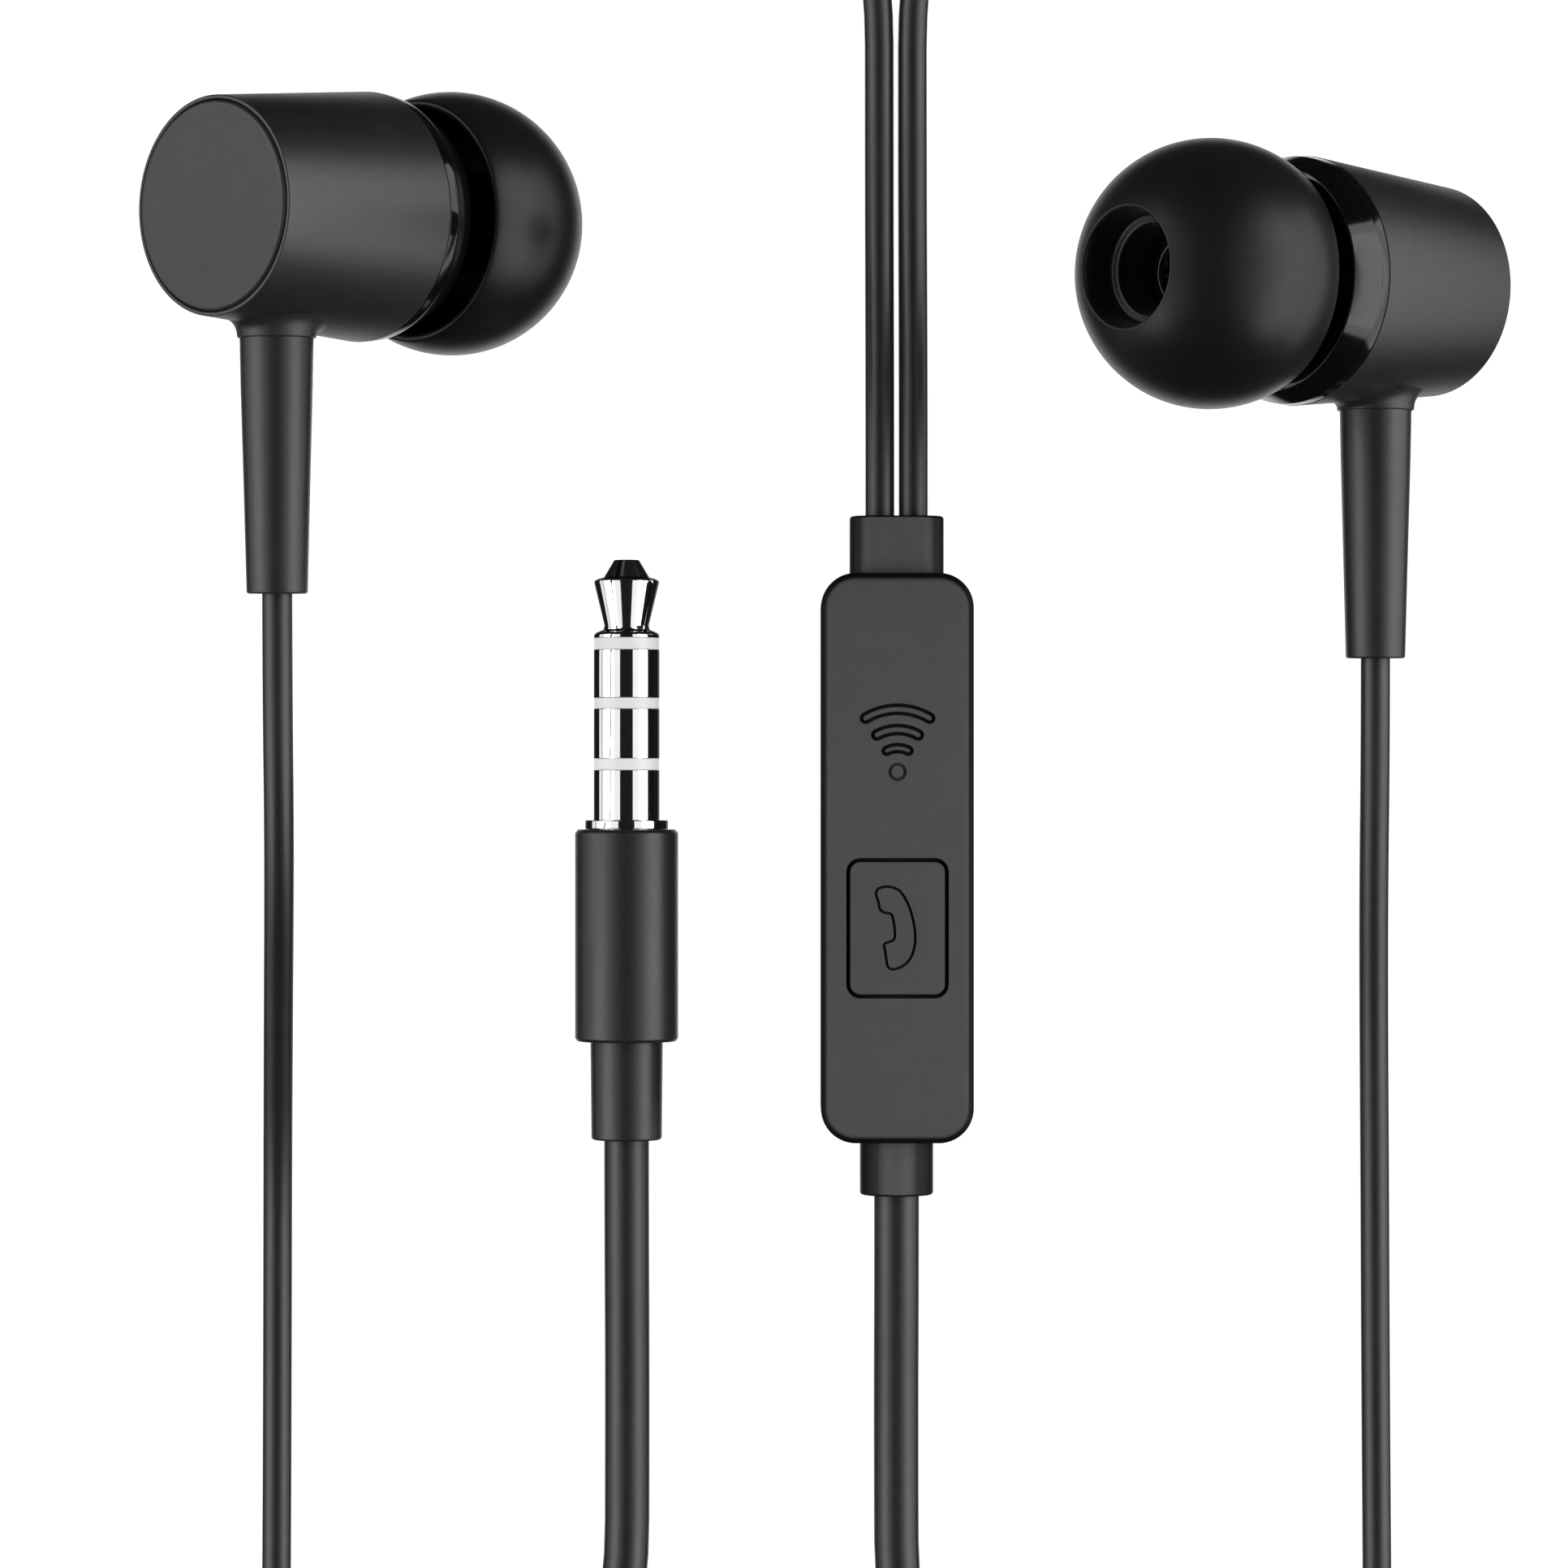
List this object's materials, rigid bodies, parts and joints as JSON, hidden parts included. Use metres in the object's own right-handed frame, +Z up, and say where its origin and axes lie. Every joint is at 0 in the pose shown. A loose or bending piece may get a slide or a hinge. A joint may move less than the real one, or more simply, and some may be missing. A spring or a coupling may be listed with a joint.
{
  "type": "wired earphones",
  "caption": "Wired in-ear earphones: tapered buds with soft tips, moulded cable reliefs, an inline call-button control and a straight four-pole plug.",
  "frame": {"origin": "centre of the control box's flat back, on the surface the earphones lie on", "axes": "+Z up from the surface, +Y along the control box towards the ear buds and the way the plug's pin points, +X to the right"},
  "size_m": [0.0948, 0.1367, 0.0233],
  "materials": {
    "housing_plastic": "fine matte texture",
    "gloss_plastic": "high gloss",
    "silicone": "satin",
    "relief_rubber": "satin",
    "cable_jacket": "satin",
    "control_plastic": "fine matte texture",
    "plug_metal": "polished",
    "plug_insulator": "smooth",
    "plug_overmould": "satin",
    "driver_steel": "plated",
    "driver_film": "clear film",
    "copper": "wound wire",
    "board": "solder mask",
    "foam": "foam"
  },
  "bodies": {
    "earphones": {"left_housing": "housing_plastic", "left_rear_cap": "housing_plastic", "left_front_cover": "gloss_plastic", "left_nozzle_screen": "driver_steel", "left_strain_relief": "relief_rubber", "left_cable_ferrule": "driver_steel", "left_driver_basket": "driver_steel", "left_driver_magnet": "driver_steel", "left_driver_top_plate": "driver_steel", "left_driver_guard": "driver_steel", "left_driver_gasket": "foam", "left_terminal_board": "board", "right_housing": "housing_plastic", "right_rear_cap": "housing_plastic", "right_front_cover": "gloss_plastic", "right_nozzle_screen": "driver_steel", "right_strain_relief": "relief_rubber", "right_cable_ferrule": "driver_steel", "right_driver_basket": "driver_steel", "right_driver_magnet": "driver_steel", "right_driver_top_plate": "driver_steel", "right_driver_guard": "driver_steel", "right_driver_gasket": "foam", "right_terminal_board": "board", "control_rear_cover": "control_plastic", "control_front_cover": "control_plastic", "switch_base": "control_plastic", "control_circuit_board": "board", "microphone": "driver_steel", "upper_cable_collar": "relief_rubber", "lower_cable_collar": "relief_rubber", "plug_tip_contact": "plug_metal", "plug_front_insulator": "plug_insulator", "plug_ring_1_contact": "plug_metal", "plug_middle_insulator": "plug_insulator", "plug_ring_2_contact": "plug_metal", "plug_rear_insulator": "plug_insulator", "plug_sleeve_contact": "plug_metal", "plug_barrel": "plug_overmould", "plug_boot": "plug_overmould", "left_cable": "cable_jacket", "right_cable": "cable_jacket", "main_cable_from_control": "cable_jacket", "main_cable_to_plug": "cable_jacket", "main_cable_coil": "cable_jacket"},
    "call_key": {"call_button": "control_plastic", "switch_plunger": "control_plastic"},
    "left_tip": {"left_ear_tip": "silicone"},
    "left_driver_cone": {"left_diaphragm": "driver_film", "left_voice_coil": "copper"},
    "right_tip": {"right_ear_tip": "silicone"},
    "right_driver_cone": {"right_diaphragm": "driver_film", "right_voice_coil": "copper"}
  },
  "joints": [
    {"name": "call_button_press", "type": "slide", "parent": "earphones", "child": "call_key", "axis": [0, 0, -1], "range_m": [0, 0.0003], "stiffness_N_per_m": 1500},
    {"name": "left_ear_tip_pull", "type": "slide", "parent": "earphones", "child": "left_tip", "axis": [0.6611, 0.02, -0.7501], "range_m": [0, 0.006]},
    {"name": "left_diaphragm_stroke", "type": "slide", "parent": "earphones", "child": "left_driver_cone", "axis": [0.6611, 0.02, -0.7501], "range_m": [-0.00015, 0.00015], "stiffness_N_per_m": 80},
    {"name": "right_ear_tip_pull", "type": "slide", "parent": "earphones", "child": "right_tip", "axis": [-0.7423, -0.0052, 0.67], "range_m": [0, 0.006]},
    {"name": "right_diaphragm_stroke", "type": "slide", "parent": "earphones", "child": "right_driver_cone", "axis": [-0.7423, -0.0052, 0.67], "range_m": [-0.00015, 0.00015], "stiffness_N_per_m": 80}
  ]
}
